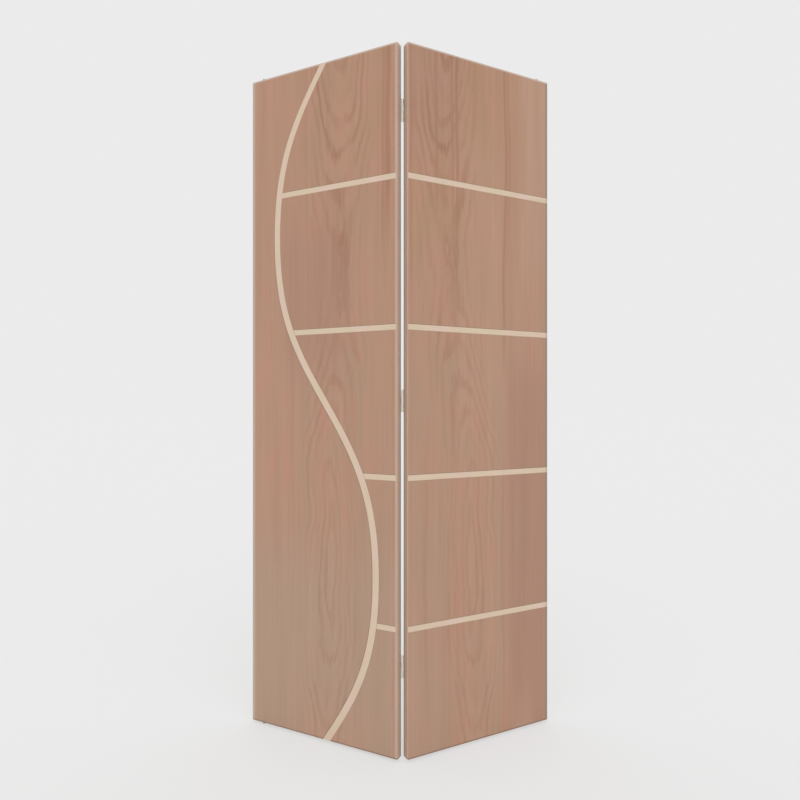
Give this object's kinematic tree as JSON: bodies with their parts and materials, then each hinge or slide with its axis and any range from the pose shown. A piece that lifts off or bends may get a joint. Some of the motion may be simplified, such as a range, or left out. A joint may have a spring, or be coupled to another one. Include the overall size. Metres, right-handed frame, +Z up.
{
  "type": "bifold closet door",
  "caption": "Bifold closet door: a pivot leaf and a roller-guided lead leaf, hinged at the back and folded outwards, with flush inlaid strips across smooth veneered faces.",
  "frame": {"origin": "lower end of the bottom pivot pin, on the pin's axis", "axes": "+Z up; +X along the head track, from the pivot to the guide; +Y into the closet, so the inlaid faces look towards -Y"},
  "size_m": [0.9298, 0.2507, 2.026],
  "materials": {
    "veneer": "satin",
    "maple_inlay": "satin",
    "edge_band": "satin",
    "core_timber": "sawn",
    "white_enamel": "satin",
    "nylon": "matte",
    "zinc_steel": "bright zinc",
    "spring_steel": "oiled"
  },
  "bodies": {
    "floor_pin": {"bottom_pivot_pin": "zinc_steel"},
    "height_nut": {"adjusting_nut": "zinc_steel"},
    "pivot_leaf": {"bottom_pivot_bush": "nylon", "top_pivot_bush": "nylon", "top_pivot_spring": "spring_steel", "hinge_pivot_plates": "white_enamel", "hinge_pins": "white_enamel", "pivot_leaf_hinge_screws": "white_enamel", "pivot_leaf_pivot_stile": "core_timber", "pivot_leaf_hinge_stile": "core_timber", "pivot_leaf_bottom_rail": "core_timber", "pivot_leaf_top_rail": "core_timber", "pivot_leaf_core_blocks": "core_timber", "pivot_leaf_front_skin": "veneer", "pivot_leaf_back_skin": "veneer", "pivot_leaf_hinge_edge_band": "edge_band", "pivot_leaf_outer_edge_band": "edge_band", "pivot_leaf_curved_inlay": "maple_inlay", "pivot_leaf_cross_inlay_1": "maple_inlay", "pivot_leaf_cross_inlay_2": "maple_inlay", "pivot_leaf_cross_inlay_3": "maple_inlay", "pivot_leaf_cross_inlay_4": "maple_inlay"},
    "top_plunger": {"top_pivot_pin": "zinc_steel"},
    "lead_leaf": {"guide_bush": "nylon", "guide_spring": "spring_steel", "hinge_lead_plates": "white_enamel", "lead_leaf_hinge_screws": "white_enamel", "lead_leaf_guide_stile": "core_timber", "lead_leaf_hinge_stile": "core_timber", "lead_leaf_bottom_rail": "core_timber", "lead_leaf_top_rail": "core_timber", "lead_leaf_core_blocks": "core_timber", "lead_leaf_front_skin": "veneer", "lead_leaf_back_skin": "veneer", "lead_leaf_hinge_edge_band": "edge_band", "lead_leaf_outer_edge_band": "edge_band", "lead_leaf_cross_inlay_1": "maple_inlay", "lead_leaf_cross_inlay_2": "maple_inlay", "lead_leaf_cross_inlay_3": "maple_inlay", "lead_leaf_cross_inlay_4": "maple_inlay"},
    "guide_plunger": {"guide_pin": "zinc_steel"},
    "roller": {"guide_roller": "nylon"}
  },
  "joints": [
    {"name": "height_adjust", "type": "slide", "parent": "floor_pin", "child": "height_nut", "axis": [0, 0, 1], "range_m": [0, 0.008]},
    {"name": "leaf_swing", "type": "hinge", "parent": "height_nut", "child": "pivot_leaf", "pos_m": [0, 0, 0], "axis": [0, 0, -1], "range_deg": [-27, 61]},
    {"name": "leaf_fold", "type": "hinge", "parent": "pivot_leaf", "child": "lead_leaf", "pos_m": [0.42681, -0.19761, 0], "axis": [0, 0, 1], "range_deg": [-54, 122]},
    {"name": "top_pivot_plunge", "type": "slide", "parent": "pivot_leaf", "child": "top_plunger", "axis": [0, 0, 1], "range_m": [-0.0085, 0], "stiffness_N_per_m": 600, "springref_m": 0.01, "deforming": ["top_pivot_spring"]},
    {"name": "guide_plunge", "type": "slide", "parent": "lead_leaf", "child": "guide_plunger", "axis": [0, 0, 1], "range_m": [-0.0075, 0], "stiffness_N_per_m": 600, "springref_m": 0.01, "deforming": ["guide_spring"]},
    {"name": "roller_spin", "type": "hinge", "parent": "guide_plunger", "child": "roller", "pos_m": [0.85362, 0, 0], "axis": [0, 0, 1], "continuous": true}
  ],
  "couplings": [
    {"joint": "leaf_fold", "follows": "leaf_swing", "ratio": 2}
  ]
}
